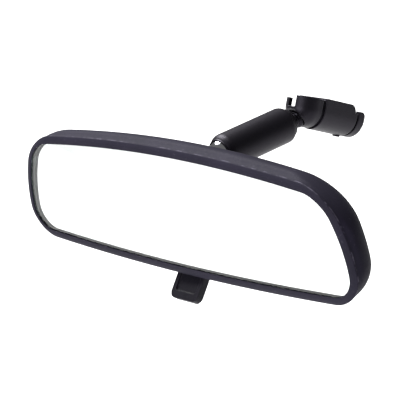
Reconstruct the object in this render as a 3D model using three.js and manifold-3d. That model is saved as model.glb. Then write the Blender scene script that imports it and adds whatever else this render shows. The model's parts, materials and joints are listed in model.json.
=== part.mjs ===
// Interior rearview mirror for a car: a prism mirror in a moulded case, with a day/night lever,
// carried by a double-ball arm on a channel mount that slides over a button on the windscreen.
//
// Millimetres. +X runs along the mirror, +Y points forward to the windscreen and +Z points up.
// The origin is the middle of the seat that the windscreen button bears on.
import * as THREE from 'three';
import { mergeVertices } from 'three/addons/utils/BufferGeometryUtils.js';
import Module from 'manifold-3d';

const wasm = await Module();
wasm.setup();

// ---- driving dimensions -------------------------------------------------------------------

const GAP = 0.3; // between pieces that touch
const OUTLINE_POINTS = 72; // round the mirror's outline

// mirror opening, as seen by the driver
const OPENING_HALF_WIDTH = 118;
const OPENING_HEIGHT = 59;
const TOP_BOW = 5.4; // fall of the top edge, mm at 100 mm from the middle
const BOTTOM_BOW = 2.8; // rise of the bottom edge, mm at 100 mm from the middle
const END_LEAN = 0.25; // each end moves out by this share of the fall towards the bottom
const END_BOW = 0.82; // curve of the ends, mm at 10 mm above or below the middle
const TOP_CORNER = 9.4;
const BOTTOM_CORNER = 11.7;

// case
const LIP_WIDTH = 4.2; // from the opening to the crease
const LIP_FRONT = 0.5; // the lip's crown stands this far in front of the opening's edge
const CREASE_DEPTH = 1.3;
const SIDE_SWELL_TOP = 1.75; // how far the side wall swells out beyond the crease
const SIDE_SWELL_BOTTOM = 0.25;
const SIDE_DEPTH = 4.4; // where the wall is widest
const CASE_WALL = 2.2;
const POCKET_DEPTH = 7.5; // straight walls that hold the glass
const SHOULDER_IN = 30; // the rounded back, measured in from the widest part
const SHOULDER_DEPTH = 23.6;
const END_TAPER = 0.15; // the case is shallower at its ends by this share
const REAR_TOP_CORNER = 7; // the back's corners are rounder than the opening's by this much
const REAR_BOTTOM_CORNER = 3.6;

// mirror
const GLASS_COVER = 1.1; // how far the lip covers the glass
const GLASS_TOP = 5;
const GLASS_BOTTOM = 2.5;
const COATING = 0.4;
const PAD = 1.4;

// day/night mechanism, in the mirror's own frame
const PIVOT = { y: 13, z: OPENING_HEIGHT / 2 - 8 };
const PIVOT_PIN_RADIUS = 1.5;
const PIN_CLEARANCE = 0.3;
const PIN_SHORT = 1.4; // a pin ends this far inside its boss
const BOSS_LENGTH = 7; // along the pin
const BOSS_REACH = 3.4; // from the pin's middle to the boss's sides
const CARRIER_HALF_WIDTH = 16;
const CARRIER_PLATE_HALF_WIDTH = 10;
const CARRIER_SHOULDER = 2; // height of the carrier's broad part above the mirror's middle
const CARRIER_THICK = 2.4;
const CARRIER_FRONT = 10.6;
const BOSS_CLEARANCE = 1; // between the carrier's end and the boss
const EAR_SLIT = 0.5; // between the carrier's plate and its ears
const FORK_HALF_WIDTH = 6;
const FORK_TINE = 2; // thickness of the rear tine
const FORK_CLEARANCE = 0.5;
const LEVER_PIVOT = { y: 13, z: 7.5 - OPENING_HEIGHT / 2 };
const LEVER_LEAN = THREE.MathUtils.degToRad(26); // towards the driver at rest
const LEVER_SWING = THREE.MathUtils.degToRad(42); // from the tab forward to the tab back
const LEVER_NECK = 12.5; // from the pivot to the bend
const LEVER_HALF_WIDTH = 10.2;
const LEVER_THICK = 3;
const TAB_BEND = THREE.MathUtils.degToRad(14); // the tab leans more than the neck by this
const TAB_LENGTH = 17.2;
const TAB_THICK = 4.2;
const LEVER_CORNER = 3;
const LEVER_PIN_RADIUS = 1.4;
const LEVER_HUB_RADIUS = 2.6;
const CRANK_LENGTH = 4;
const CRANK_RADIUS = 1.6;
const CRANK_THICK = 2.4;
const CRANK_HALF_WIDTH = 4;
const LEVER_BOSS_LENGTH = 4;
const LEVER_BOSS_REACH = 3.2;
const SLOT_CLEARANCE = 0.8; // round the lever

// arm
const BALL_RADIUS = 8;
const STEM_RADIUS = 3.4;
const BALL_SPACING = 40;
const BALL_CLEARANCE = 0.35; // in the tube's rolled ends
const TUBE_WALL = 1.2;
const TUBE_RADIUS = BALL_RADIUS + GAP + TUBE_WALL;
const TUBE_ROLL = 4.6; // radius of the rolled-in ends
const MOUTH_RADIUS = BALL_RADIUS - 0.7;
const SEAT_START = BALL_RADIUS / 2; // from the ball's middle
const SEAT_LENGTH = 5;
const SEAT_BORE = 3;
const SPRING_WIRE = 1.5;
const SPRING_TURNS = 4;
const SPRING_CLEARANCE = 0.8; // inside the washers' rims
const WASHER_THICK = 1;
const WASHER_BORE = 4;

// where the head ball stands behind the opening
const HEAD_BALL = { y: 39.7, z: OPENING_HEIGHT / 2 - 11.7 };
const STEM_HOLE_RADIUS = 6.6;
const STEM_HOLE_START = 17;
const FLANGE_RADIUS = 7;
const FLANGE_THICK = 2;

// windscreen mount: lengths run down the windscreen from the mount ball
const RAKE = THREE.MathUtils.degToRad(28);
const SEAT_FROM_BALL = 29.2; // along the channel
const SEAT_ABOVE_BALL = 14.6;
const MOUNT_HALF_WIDTH = 10.5;
const MOUNT_DEPTH = 17.2; // from the windscreen face to the rounded bottom
const SOCKET_DEPTH = 3.7;
const SOCKET_HALF_WIDTH = MOUNT_HALF_WIDTH - 3.3;
const SOCKET_MOUTH_HALF_WIDTH = SOCKET_HALF_WIDTH - 1.6;
const SOCKET_END_WALL = 3;
const SEAT_HALF_WIDTH = SOCKET_MOUTH_HALF_WIDTH - GAP; // the raised middle of the socket's floor
const RELIEF_DEPTH = 0.5; // the floor's lower sides
const CHANNEL_START = 17.4;
const CHANNEL_END = 41.2;
const BODY_END = 43.8;
const BODY_END_DROP = 0.4; // below the seat
const END_CORNER = 4;
const NOSE_CENTRE = 14;
const NOSE_INSET = 0.4; // the nose is slimmer than the channel by this much all round
const NOSE_TOP_DROP = 1.2; // below the windscreen face
const NOSE_WALL = 2.4;
const NOSE_SLOT_HALF_WIDTH = 2.35;
const NOSE_SLOT_DEPTH = 6;
const NOSE_WINDOW_START = 6.6; // ahead of the nose's centre
const SWIVEL_CLEARANCE = 10.7; // radius kept free round the mount ball
const COLLAR_GROOVE = { width: 1.5, depth: 1.4 };
const END_GROOVE = { width: 0.9, depth: 1.1 };
const MOUNT_STEM_END = 16.5; // from the ball's centre
const STUD_COLLAR = { radius: 4.8, start: 9.4, end: 11.1 };
const STUD_POCKET = { radius: 5.6, end: 11.5 }; // in the nose, round the collar
const FLANGE_LENGTH = 4.8;
const FLANGE_EDGE = 1.2;
const FLANGE_EAR = 0.9; // above the seat
const CLAMP_SCREW_RADIUS = 2;
const CLAMP_SCREW_TOP = 1.6; // below the seat
const CLAMP_SCREW_PROUD = 0.6;
const CLAMP_SCREW_BACK = 1; // its middle, short of the channel's end

// ---- materials ----------------------------------------------------------------------------

const plastic = (color, roughness) => new THREE.MeshStandardMaterial({ color, roughness, metalness: 0 });
const metal = (color, roughness) => new THREE.MeshStandardMaterial({ color, roughness, metalness: 1 });
const casePlastic = plastic(0x2a2830, 0.65);
const leverPlastic = plastic(0x1e1c22, 0.5);
const blackPaint = plastic(0x19181c, 0.4);
const nylon = plastic(0xd8d4c8, 0.5);
const foam = plastic(0x3a3a3c, 0.9);
const glass = plastic(0xc8d4d0, 0.05);
const silvering = metal(0xf0f2f4, 0.05);
const steel = metal(0xb8babd, 0.3);
const springSteel = metal(0x8d9094, 0.35);

// ---- making solids ------------------------------------------------------------------------

function toSolid(geometry) {
  const bare = geometry.index ? geometry.clone() : mergeVertices(geometry.clone());
  bare.deleteAttribute('normal');
  bare.deleteAttribute('uv');
  const merged = mergeVertices(bare, 1e-4);
  const vertProperties = new Float32Array(merged.attributes.position.array);
  const triVerts = new Uint32Array(merged.index.array);
  const solid = new wasm.Manifold(new wasm.Mesh({ numProp: 3, vertProperties, triVerts }));
  if (solid.volume() > 0) return solid;
  // the rings ran the other way round, so the faces point inwards: turn each one over
  return new wasm.Manifold(new wasm.Mesh({ numProp: 3, vertProperties, triVerts: triVerts.reverse() }));
}

function toGeometry(solid) {
  const mesh = solid.getMesh();
  const geometry = new THREE.BufferGeometry();
  geometry.setAttribute('position', new THREE.BufferAttribute(new Float32Array(mesh.vertProperties), 3));
  geometry.setIndex(new THREE.BufferAttribute(new Uint32Array(mesh.triVerts), 1));
  return geometry;
}

function addPiece(parent, name, shape, material) {
  const geometry = shape.isBufferGeometry ? shape : toGeometry(shape);
  const piece = new THREE.Mesh(geometry, material);
  piece.name = name;
  parent.add(piece);
}

function outlineShape(points) {
  return new THREE.Shape(points.map(([u, v]) => new THREE.Vector2(u, v)));
}

// an outline in (y, z), carried from x0 to x1
function alongX(points, x0, x1) {
  const shape = Array.isArray(points) ? outlineShape(points) : points;
  const geometry = new THREE.ExtrudeGeometry(shape,
    { depth: x1 - x0, bevelEnabled: false, curveSegments: 8 });
  const turn = new THREE.Matrix4().makeBasis(
    new THREE.Vector3(0, 1, 0), new THREE.Vector3(0, 0, 1), new THREE.Vector3(1, 0, 0));
  return toSolid(geometry.applyMatrix4(turn).translate(x0, 0, 0));
}

// an outline in (x, z), carried from y0 to y1
function alongY(points, y0, y1) {
  const shape = Array.isArray(points) ? outlineShape(points) : points;
  const geometry = new THREE.ExtrudeGeometry(shape,
    { depth: y1 - y0, bevelEnabled: false, curveSegments: 10 });
  return toSolid(geometry.rotateX(Math.PI / 2).translate(0, y1, 0));
}

function box(x0, x1, y0, y1, z0, z1) {
  return alongX([[y0, z0], [y1, z0], [y1, z1], [y0, z1]], x0, x1);
}

// a box whose inner face is at x = inner on one side of the middle: side is -1 or 1
function sideBox(side, inner, length, y0, y1, z0, z1) {
  const reach = [side * inner, side * (inner + length)];
  return box(Math.min(...reach), Math.max(...reach), y0, y1, z0, z1);
}

function rodX(radius, x0, x1, y, z, sides = 20) {
  const rod = new THREE.CylinderGeometry(radius, radius, x1 - x0, sides);
  return toSolid(rod.rotateZ(Math.PI / 2).translate((x0 + x1) / 2, y, z));
}

function ball(radius, y, z, around = 24, high = 14) {
  return toSolid(new THREE.SphereGeometry(radius, around, high).rotateX(Math.PI / 2).translate(0, y, z));
}

// a turned piece round the Y axis; the profile is a list of [radius, y]
function turned(profile, sides = 24) {
  const points = profile.map(([r, y]) => new THREE.Vector2(r, y));
  if (profile[0][0] > 0) points.push(points[0].clone());
  return toSolid(new THREE.LatheGeometry(points, sides));
}

// a closed skin through rings of equal point count, the first and last closed by a middle point
function loft(rings) {
  const count = rings[0].length;
  const positions = rings.flat(2);
  const index = [];
  for (let ring = 0; ring + 1 < rings.length; ring += 1) {
    for (let k = 0; k < count; k += 1) {
      const a = ring * count + k;
      const b = ring * count + ((k + 1) % count);
      index.push(a, b, b + count, a, b + count, a + count);
    }
  }
  [0, rings.length - 1].forEach((ring, end) => {
    const middle = positions.length / 3;
    const sum = rings[ring].reduce((s, p) => s.map((v, i) => v + p[i] / count), [0, 0, 0]);
    positions.push(...sum);
    for (let k = 0; k < count; k += 1) {
      const a = ring * count + k;
      const b = ring * count + ((k + 1) % count);
      if (end === 0) index.push(middle, b, a);
      else index.push(middle, a, b);
    }
  });
  const geometry = new THREE.BufferGeometry();
  geometry.setAttribute('position', new THREE.Float32BufferAttribute(positions, 3));
  geometry.setIndex(index);
  return toSolid(geometry);
}

// ---- the mirror's outline -----------------------------------------------------------------

// how far the point (x, z) lies outside the opening, negative inside; `soften` is 0 for the
// opening's own corners and 1 for the rounder corners of the back
function outside(x, z, soften) {
  const top = OPENING_HEIGHT / 2 - TOP_BOW * (x / 100) ** 2;
  const bottom = OPENING_HEIGHT / 2 - BOTTOM_BOW * (x / 100) ** 2;
  const end = OPENING_HALF_WIDTH - END_LEAN * z - END_BOW * (z / 10) ** 2;
  const corner = z > 0 ? TOP_CORNER + REAR_TOP_CORNER * soften : BOTTOM_CORNER + REAR_BOTTOM_CORNER * soften;
  const across = Math.abs(x) - end + corner;
  const up = (z > 0 ? z - top : -z - bottom) + corner;
  return Math.hypot(Math.max(across, 0), Math.max(up, 0)) + Math.min(Math.max(across, up), 0) - corner;
}

// the points of the outline that lies `offset` outside the opening. `depth` is a number, or a
// function of height; `swell` is 1 where the wall carries its full swell.
function outline(offset, depth, { soften = 0, swell = 0, scale = 1 } = {}) {
  const ring = [];
  const half = OPENING_HEIGHT / 2;
  const swellMiddle = (SIDE_SWELL_TOP + SIDE_SWELL_BOTTOM) / 2;
  const swellTilt = (SIDE_SWELL_TOP - SIDE_SWELL_BOTTOM) / 2;
  for (let k = 0; k < OUTLINE_POINTS; k += 1) {
    const turn = (2 * Math.PI * k) / OUTLINE_POINTS;
    // directions are bunched a little so that the corners get enough points
    const dx = Math.sign(Math.cos(turn)) * Math.abs(Math.cos(turn)) ** 0.8 * OPENING_HALF_WIDTH;
    const dz = Math.sign(Math.sin(turn)) * Math.abs(Math.sin(turn)) ** 0.8 * half;
    let near = 0;
    let far = 3;
    for (let step = 0; step < 40; step += 1) {
      const middle = (near + far) / 2;
      const local = offset + swell * (swellMiddle + (swellTilt * dz * middle) / half);
      if (outside(dx * middle, dz * middle, soften) < local) near = middle;
      else far = middle;
    }
    const x = dx * near * scale;
    const z = dz * near * scale;
    const y = typeof depth === 'function' ? depth(z) : depth;
    const behind = Math.max(y - CREASE_DEPTH, 0);
    ring.push([x, y - behind * END_TAPER * (x / (OPENING_HALF_WIDTH + 2)) ** 2, z]);
  }
  return ring;
}

// ---- mirror head --------------------------------------------------------------------------

// rings over the rounded back, `wall` inside the outer skin, at these turns in degrees
function backRings(wall, turns) {
  const rings = [];
  for (const degrees of turns) {
    const turn = THREE.MathUtils.degToRad(degrees);
    rings.push(outline(LIP_WIDTH - wall - (SHOULDER_IN - wall) * (1 - Math.cos(turn)),
      SIDE_DEPTH + (SHOULDER_DEPTH - wall) * Math.sin(turn), { soften: 1, swell: 1 }));
  }
  const last = THREE.MathUtils.degToRad(turns[turns.length - 1]);
  const offset = LIP_WIDTH - wall - (SHOULDER_IN - wall) * (1 - Math.cos(last));
  const depth = SIDE_DEPTH + (SHOULDER_DEPTH - wall) * Math.sin(last);
  const rise = SIDE_DEPTH + SHOULDER_DEPTH - wall - depth;
  for (const share of [0.66, 0.3]) {
    rings.push(outline(offset, depth + rise * (1 - share * share), { soften: 1, swell: 1, scale: share }));
  }
  return rings;
}

function makeCase() {
  const outer = loft([
    outline(0, -LIP_FRONT / 2),
    outline(LIP_WIDTH * 0.25, -LIP_FRONT),
    outline(LIP_WIDTH * 0.6, 0),
    outline(LIP_WIDTH, CREASE_DEPTH),
    outline(LIP_WIDTH, (CREASE_DEPTH + SIDE_DEPTH) / 2, { soften: 0.6, swell: 0.7 }),
    ...backRings(0, [0, 14, 28, 42, 56, 70]),
  ]);
  const pocket = GLASS_COVER + GAP;
  const hollow = loft([
    outline(pocket, GAP / 2),
    outline(pocket, POCKET_DEPTH),
    ...backRings(CASE_WALL, [20, 36, 52, 68]),
  ]);
  const mouth = loft([outline(0, -2), outline(0, 1)]);
  let shell = outer.subtract(hollow).subtract(mouth);

  // bosses for the two pivot pins and for the lever's pin, run into the wall
  const wallTop = OPENING_HEIGHT / 2 + 1;
  const wallBottom = 0.4 - OPENING_HEIGHT / 2;
  for (const side of [-1, 1]) {
    shell = shell.add(sideBox(side, CARRIER_HALF_WIDTH + BOSS_CLEARANCE, BOSS_LENGTH,
      PIVOT.y - BOSS_REACH, PIVOT.y + BOSS_REACH, PIVOT.z - BOSS_REACH, wallTop));
    shell = shell.add(sideBox(side, LEVER_HALF_WIDTH + SLOT_CLEARANCE, LEVER_BOSS_LENGTH,
      LEVER_PIVOT.y - LEVER_BOSS_REACH, LEVER_PIVOT.y + LEVER_BOSS_REACH,
      wallBottom, LEVER_PIVOT.z + LEVER_BOSS_REACH));
  }
  const pinEnd = pivotPinEnd() + GAP;
  const leverPinHoleEnd = leverPinEnd() + GAP;
  shell = shell.subtract(rodX(PIVOT_PIN_RADIUS + GAP, -pinEnd, pinEnd, PIVOT.y, PIVOT.z));
  shell = shell.subtract(
    rodX(LEVER_PIN_RADIUS + GAP, -leverPinHoleEnd, leverPinHoleEnd, LEVER_PIVOT.y, LEVER_PIVOT.z));

  // way out for the stem, and the slot that the lever swings in
  const behind = SIDE_DEPTH + SHOULDER_DEPTH + 2;
  const stemHole = turned([[0, STEM_HOLE_START], [STEM_HOLE_RADIUS, STEM_HOLE_START],
    [STEM_HOLE_RADIUS, behind], [0, behind]]).translate([0, 0, HEAD_BALL.z]);
  const slotHalf = LEVER_HALF_WIDTH + SLOT_CLEARANCE;
  const leanBack = LEVER_SWING - LEVER_LEAN;
  const slot = box(-slotHalf, slotHalf, LEVER_PIVOT.y - slotReach(LEVER_LEAN, LEVER_LEAN + TAB_BEND),
    LEVER_PIVOT.y + slotReach(leanBack, leanBack - TAB_BEND),
    -OPENING_HEIGHT / 2 - LIP_WIDTH - 3, LEVER_PIVOT.z - LEVER_HUB_RADIUS);
  return shell.subtract(stemHole).subtract(slot);
}

// how far along Y from its pivot the lever reaches at the foot of the case, for these leans of
// its neck and its tab
function slotReach(neckLean, tabLean) {
  const fall = OPENING_HEIGHT / 2 + LIP_WIDTH + SIDE_SWELL_BOTTOM + LEVER_PIVOT.z;
  const belowNeck = Math.max(fall - LEVER_NECK * Math.cos(neckLean), 0);
  return LEVER_NECK * Math.sin(neckLean) + belowNeck * Math.tan(tabLean)
    + TAB_THICK / 2 / Math.cos(tabLean) + SLOT_CLEARANCE;
}

function pivotPinEnd() {
  return CARRIER_HALF_WIDTH + BOSS_CLEARANCE + BOSS_LENGTH - PIN_SHORT;
}

function leverPinEnd() {
  return LEVER_HALF_WIDTH + SLOT_CLEARANCE + LEVER_BOSS_LENGTH - PIN_SHORT;
}

// a slab that follows the wedge: front and back are depths as functions of height
function slab(offset, front, back) {
  return loft([outline(offset, front), outline(offset, back)]);
}

function addGlass(head) {
  const front = GAP + 0.1;
  const half = OPENING_HEIGHT / 2;
  const glassBack = (z) => front + GLASS_BOTTOM + ((GLASS_TOP - GLASS_BOTTOM) * (z + half)) / OPENING_HEIGHT;
  const coatFront = (z) => glassBack(z) + GAP;
  const coatBack = (z) => coatFront(z) + COATING;
  const padFront = (z) => coatBack(z) + GAP;
  const padBack = (z) => padFront(z) + PAD;
  addPiece(head, 'prism_glass', slab(GLASS_COVER, () => front, glassBack), glass);
  addPiece(head, 'mirror_coating', slab(GLASS_COVER - 0.6, coatFront, coatBack), silvering);
  addPiece(head, 'backing_pad', slab(GLASS_COVER - 1.6, padFront, padBack), foam);
}

function makeCarrier() {
  const back = CARRIER_FRONT + CARRIER_THICK;
  const top = PIVOT.z + BOSS_REACH;
  const crankY = LEVER_PIVOT.y + CRANK_LENGTH * Math.sin(LEVER_SWING / 2);
  const crankZ = LEVER_PIVOT.z + CRANK_LENGTH * Math.cos(LEVER_SWING / 2);
  const forkHalf = CRANK_RADIUS + FORK_CLEARANCE;
  const forkFoot = LEVER_PIVOT.z + LEVER_HUB_RADIUS + FORK_CLEARANCE;
  const forkTop = crankZ + CRANK_RADIUS + 4;
  const earStart = CARRIER_PLATE_HALF_WIDTH + EAR_SLIT;
  const inner = CARRIER_PLATE_HALF_WIDTH - 2;
  let plate = box(-CARRIER_PLATE_HALF_WIDTH, CARRIER_PLATE_HALF_WIDTH, CARRIER_FRONT, back, forkFoot, top);
  for (const side of [-1, 1]) {
    plate = plate.add(sideBox(side, earStart, CARRIER_HALF_WIDTH - earStart,
      CARRIER_FRONT, PIVOT.y + PIVOT_PIN_RADIUS * 2, PIVOT.z - PIVOT_PIN_RADIUS * 2, top));
    plate = plate.add(sideBox(side, inner, CARRIER_HALF_WIDTH - inner,
      CARRIER_FRONT, back, CARRIER_SHOULDER, top));
  }
  plate = plate.add(box(-FORK_HALF_WIDTH, FORK_HALF_WIDTH, CARRIER_FRONT,
    crankY + forkHalf + FORK_TINE, forkFoot, forkTop));
  plate = plate.subtract(box(-FORK_HALF_WIDTH - 1, FORK_HALF_WIDTH + 1, crankY - forkHalf,
    crankY + forkHalf, forkFoot - 1, crankZ + CRANK_RADIUS + 2));
  const pinHole = PIVOT_PIN_RADIUS + PIN_CLEARANCE;
  const holeStart = pivotPinStart() - GAP;
  return plate.subtract(rodX(pinHole, -CARRIER_HALF_WIDTH - 1, -holeStart, PIVOT.y, PIVOT.z))
    .subtract(rodX(pinHole, holeStart, CARRIER_HALF_WIDTH + 1, PIVOT.y, PIVOT.z));
}

function pivotPinStart() {
  return CARRIER_PLATE_HALF_WIDTH + EAR_SLIT + GAP;
}

// a flat neck through the case, a thicker tab that leans further forward, and a crank that points up
// and swings as far behind the pivot as ahead of it
function makeLever() {
  const w = LEVER_HALF_WIDTH;
  const r = LEVER_CORNER;
  const foot = -TAB_LENGTH;
  const tabOutline = new THREE.Shape();
  tabOutline.moveTo(-w, 0);
  tabOutline.lineTo(-w, foot + r);
  tabOutline.absarc(-w + r, foot + r, r, Math.PI, 1.5 * Math.PI);
  tabOutline.absarc(w - r, foot + r, r, 1.5 * Math.PI, 2 * Math.PI);
  tabOutline.lineTo(w, 0);
  const tab = alongY(tabOutline, -TAB_THICK / 2, TAB_THICK / 2)
    .rotate([-THREE.MathUtils.radToDeg(TAB_BEND), 0, 0])
    .translate([0, 0, -LEVER_NECK]);
  const blade = box(-w, w, -LEVER_THICK / 2, LEVER_THICK / 2, -LEVER_NECK - LEVER_THICK / 2, 0)
    .add(tab)
    .rotate([-THREE.MathUtils.radToDeg(LEVER_LEAN), 0, 0]);
  const crank = box(-CRANK_HALF_WIDTH, CRANK_HALF_WIDTH, -CRANK_THICK / 2, CRANK_THICK / 2, 0, CRANK_LENGTH)
    .add(rodX(CRANK_RADIUS, -CRANK_HALF_WIDTH, CRANK_HALF_WIDTH, 0, CRANK_LENGTH))
    .rotate([-THREE.MathUtils.radToDeg(LEVER_SWING) / 2, 0, 0]);
  return blade.add(crank)
    .add(rodX(LEVER_HUB_RADIUS, -w, w, 0, 0))
    .subtract(rodX(LEVER_PIN_RADIUS + PIN_CLEARANCE, -w - 1, w + 1, 0, 0))
    .translate([0, LEVER_PIVOT.y, LEVER_PIVOT.z]);
}

function makeHeadStem() {
  const flangeFront = CARRIER_FRONT + CARRIER_THICK + GAP;
  return turned([
    [0, flangeFront],
    [FLANGE_RADIUS, flangeFront],
    [FLANGE_RADIUS, flangeFront + FLANGE_THICK],
    [STEM_RADIUS + 1.2, flangeFront + FLANGE_THICK],
    [STEM_RADIUS, flangeFront + FLANGE_THICK + 3],
    [STEM_RADIUS, HEAD_BALL.y - BALL_RADIUS - GAP],
    [0, HEAD_BALL.y - BALL_RADIUS - GAP],
  ]).translate([0, 0, HEAD_BALL.z]);
}

function makeHead() {
  const head = new THREE.Group();
  addPiece(head, 'mirror_case', makeCase(), casePlastic);
  addGlass(head);
  addPiece(head, 'toggle_carrier', makeCarrier(), steel);
  const start = pivotPinStart();
  const end = pivotPinEnd();
  addPiece(head, 'pivot_pin_left', rodX(PIVOT_PIN_RADIUS, -end, -start, PIVOT.y, PIVOT.z), steel);
  addPiece(head, 'pivot_pin_right', rodX(PIVOT_PIN_RADIUS, start, end, PIVOT.y, PIVOT.z), steel);
  addPiece(head, 'day_night_lever', makeLever(), leverPlastic);
  const leverPin = rodX(LEVER_PIN_RADIUS, -leverPinEnd(), leverPinEnd(), LEVER_PIVOT.y, LEVER_PIVOT.z);
  addPiece(head, 'lever_pin', leverPin, steel);
  addPiece(head, 'head_stem', makeHeadStem(), steel);
  return head;
}

// ---- arm ----------------------------------------------------------------------------------

// the tube with both ends rolled in; y = 0 is the head ball and y = BALL_SPACING the mount ball
function makeTube() {
  const cupRadius = BALL_RADIUS + BALL_CLEARANCE;
  const reach = Math.sqrt(cupRadius ** 2 - MOUTH_RADIUS ** 2);
  const bore = TUBE_RADIUS - TUBE_WALL;
  const rollStart = Math.asin((MOUTH_RADIUS - TUBE_RADIUS + TUBE_ROLL) / TUBE_ROLL);
  const mouthAngle = Math.acos(MOUTH_RADIUS / cupRadius);
  const steps = 5;
  const halfOutside = [];
  const halfInside = [];
  for (let step = 0; step <= steps; step += 1) {
    const turn = rollStart + (Math.PI / 2 - rollStart) * (step / steps);
    halfOutside.push([TUBE_RADIUS - TUBE_ROLL * (1 - Math.sin(turn)),
      TUBE_ROLL * (1 - Math.cos(turn)) - reach]);
    const round = mouthAngle * (step / steps);
    halfInside.push([Math.min(cupRadius * Math.cos(round), bore), -cupRadius * Math.sin(round)]);
  }
  const mirrored = (points) => points.map(([r, y]) => [r, BALL_SPACING - y]).reverse();
  const front = [...halfInside, ...halfOutside];
  return turned([...front, ...mirrored(front)], 28);
}

function makeSeat() {
  // a nylon cup on the inner side of a ball, its hollow facing the ball at y = 0
  const bore = TUBE_RADIUS - TUBE_WALL - GAP;
  const hollow = ball(BALL_RADIUS + GAP, 0, 0);
  const end = SEAT_START + SEAT_LENGTH;
  const cup = turned([[0, SEAT_START], [bore, SEAT_START], [bore, end], [0, end]]);
  const hole = turned([[0, SEAT_START - 1], [SEAT_BORE, SEAT_START - 1], [SEAT_BORE, end + 1], [0, end + 1]]);
  return cup.subtract(hollow).subtract(hole);
}

function makeSpring(from, to) {
  const radius = TUBE_RADIUS - TUBE_WALL - GAP - SPRING_CLEARANCE;
  const wire = SPRING_WIRE / 2;
  const steps = SPRING_TURNS * 16;
  const length = to - from - 2 * wire;
  const rings = [];
  for (let k = 0; k <= steps; k += 1) {
    const turn = (2 * Math.PI * SPRING_TURNS * k) / steps;
    const y = from + wire + (length * k) / steps;
    const ring = [];
    for (let side = 0; side < 6; side += 1) {
      const around = (2 * Math.PI * side) / 6;
      const r = radius - wire + wire * Math.cos(around);
      ring.push([r * Math.cos(turn), y + wire * Math.sin(around), r * Math.sin(turn)]);
    }
    rings.push(ring);
  }
  return loft(rings);
}

function makeArm() {
  const arm = new THREE.Group();
  addPiece(arm, 'arm_tube', makeTube(), blackPaint);
  addPiece(arm, 'head_ball', ball(BALL_RADIUS, 0, 0), steel);
  addPiece(arm, 'mount_ball', ball(BALL_RADIUS, BALL_SPACING, 0), steel);
  addPiece(arm, 'front_ball_seat', makeSeat(), nylon);
  addPiece(arm, 'rear_ball_seat', makeSeat().rotate([180, 0, 0]).translate([0, BALL_SPACING, 0]), nylon);
  const rim = TUBE_RADIUS - TUBE_WALL - GAP;
  const washerStart = SEAT_START + SEAT_LENGTH + GAP;
  const washer = (y) => turned([[WASHER_BORE, y], [rim, y], [rim, y + WASHER_THICK],
    [WASHER_BORE, y + WASHER_THICK]]);
  addPiece(arm, 'front_washer', washer(washerStart), steel);
  addPiece(arm, 'rear_washer', washer(BALL_SPACING - washerStart - WASHER_THICK), steel);
  const springStart = washerStart + WASHER_THICK + GAP;
  addPiece(arm, 'arm_spring', makeSpring(springStart, BALL_SPACING - springStart), springSteel);
  return arm;
}

// ---- windscreen mount ---------------------------------------------------------------------
// Local frame: y runs down the windscreen from the ball side, z out through the glass, and the
// origin is the middle of the button's seat.

const alongMount = (fromBall) => fromBall - SEAT_FROM_BALL;
const FACE_TOP = SOCKET_DEPTH;
const HULL_CENTRE = FACE_TOP - MOUNT_DEPTH + MOUNT_HALF_WIDTH;

// the hull's section: straight sides and a half-round bottom
function hullSection(inset, top) {
  const radius = MOUNT_HALF_WIDTH - inset;
  const shape = new THREE.Shape();
  shape.moveTo(radius, top);
  shape.lineTo(-radius, top);
  shape.lineTo(-radius, HULL_CENTRE);
  shape.absarc(0, HULL_CENTRE, radius, Math.PI, 2 * Math.PI, false);
  shape.lineTo(radius, top);
  return shape;
}

function clampScrewAt() {
  return alongMount(CHANNEL_END) - CLAMP_SCREW_BACK;
}

// a groove round the hull, from y to y + groove.width
function hullGroove(y, groove) {
  return alongY(hullSection(-1, FACE_TOP + 1), y, y + groove.width)
    .subtract(alongY(hullSection(groove.depth, FACE_TOP + 2), y - 1, y + groove.width + 1));
}

function makeChannel() {
  const start = alongMount(CHANNEL_START);
  const end = alongMount(CHANNEL_END);
  const bodyEnd = alongMount(BODY_END);
  const bottom = HULL_CENTRE - MOUNT_HALF_WIDTH;
  const body = alongY(hullSection(0, FACE_TOP), start, bodyEnd);
  const side = new THREE.Shape();
  side.moveTo(start - 1, bottom - 1);
  side.lineTo(bodyEnd + 1, bottom - 1);
  side.lineTo(bodyEnd + 1, -BODY_END_DROP);
  side.lineTo(end, -BODY_END_DROP);
  side.absarc(end - END_CORNER, FACE_TOP - END_CORNER, END_CORNER, 0, Math.PI / 2, false);
  side.lineTo(start - 1, FACE_TOP);
  const socket = alongY([
    [-SOCKET_HALF_WIDTH, -RELIEF_DEPTH], [-SEAT_HALF_WIDTH, -RELIEF_DEPTH], [-SEAT_HALF_WIDTH, 0],
    [SEAT_HALF_WIDTH, 0], [SEAT_HALF_WIDTH, -RELIEF_DEPTH], [SOCKET_HALF_WIDTH, -RELIEF_DEPTH],
    [SOCKET_MOUTH_HALF_WIDTH, FACE_TOP + 0.1], [-SOCKET_MOUTH_HALF_WIDTH, FACE_TOP + 0.1],
  ], start + SOCKET_END_WALL, bodyEnd + 1);
  const screwHole = turned([[0, bottom - 1], [CLAMP_SCREW_RADIUS + GAP, bottom - 1],
    [CLAMP_SCREW_RADIUS + GAP, GAP - CLAMP_SCREW_TOP], [0, GAP - CLAMP_SCREW_TOP]])
    .rotate([90, 0, 0]).translate([0, clampScrewAt(), 0]);
  return body.intersect(alongX(side, -MOUNT_HALF_WIDTH - 1, MOUNT_HALF_WIDTH + 1))
    .subtract(socket).subtract(screwHole)
    .subtract(hullGroove(start, COLLAR_GROOVE))
    .subtract(hullGroove(bodyEnd - END_GROOVE.width, END_GROOVE));
}

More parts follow.
